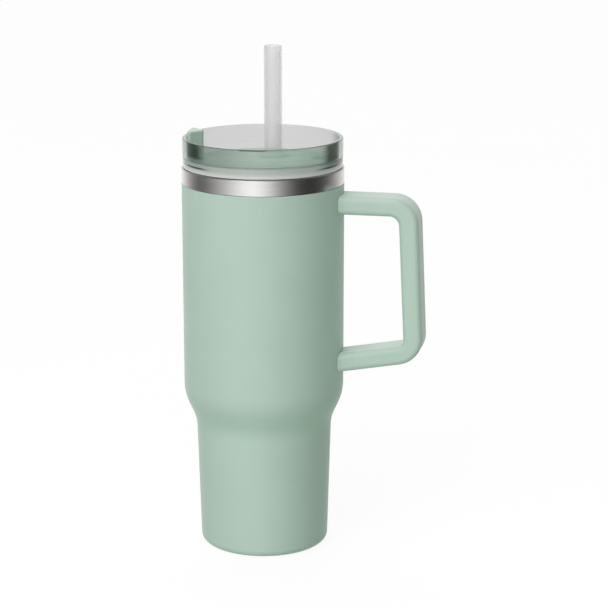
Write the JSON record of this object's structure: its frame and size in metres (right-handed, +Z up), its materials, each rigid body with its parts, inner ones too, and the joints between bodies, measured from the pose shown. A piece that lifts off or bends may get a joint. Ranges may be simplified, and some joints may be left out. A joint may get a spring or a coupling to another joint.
{
  "type": "insulated travel mug",
  "caption": "Tall vacuum-walled travel mug with a side handle, a tapered base, a clear press-in lid with a turning cover, and a straw.",
  "frame": {"origin": "middle of the flat base that the mug stands on", "axes": "+Z up along the mug's axis, +X towards the handle"},
  "size_m": [0.1512, 0.1, 0.3123],
  "materials": {
    "sage_powder_coat": "matte powder coat with a very fine texture",
    "brushed_steel": "fine turned brushing",
    "copper_foil": "bright copper-coloured foil",
    "getter_alloy": "matte sintered pellet",
    "glass_solder": "dark glassy bead",
    "sage_plastic": "matte moulded plastic",
    "sage_rubber": "matte",
    "clear_lid_plastic": "clear and glossy, slightly smoky",
    "clear_pin_plastic": "clear and glossy",
    "sage_cover_plastic": "satin moulded plastic",
    "white_silicone": "matte translucent silicone",
    "sage_silicone": "matte silicone",
    "clear_straw_plastic": "frosted clear plastic"
  },
  "bodies": {
    "mug": {"outer_shell": "sage_powder_coat", "inner_vessel": "brushed_steel", "radiation_foil": "copper_foil", "base_disc": "brushed_steel", "base_cover": "sage_powder_coat", "vacuum_getter": "getter_alloy", "vacuum_seal": "glass_solder", "handle_grip": "sage_plastic", "handle_frame": "brushed_steel", "upper_handle_bracket": "brushed_steel", "lower_handle_bracket": "brushed_steel", "upper_handle_screw": "brushed_steel", "lower_handle_screw": "brushed_steel", "upper_screw_plug": "sage_rubber", "lower_screw_plug": "sage_rubber"},
    "lid": {"lid_body": "clear_lid_plastic", "lid_gasket": "white_silicone"},
    "cover": {"rotating_cover": "sage_cover_plastic", "cover_seal": "white_silicone", "straw_grommet": "sage_silicone", "pivot_pin": "clear_pin_plastic", "pivot_washer": "white_silicone", "pivot_cap": "sage_cover_plastic"},
    "straw": {"straw": "clear_straw_plastic"}
  },
  "joints": [
    {"name": "lid_lift", "type": "slide", "parent": "mug", "child": "lid", "axis": [0, 0, 1], "range_m": [0, 0.25]},
    {"name": "cover_turn", "type": "hinge", "parent": "lid", "child": "cover", "pos_m": [0, 0, 0.2418], "axis": [0, 0, 1], "range_deg": [0, 120]},
    {"name": "straw_pull", "type": "slide", "parent": "cover", "child": "straw", "axis": [0, 0, 1], "range_m": [0, 0.25]}
  ]
}
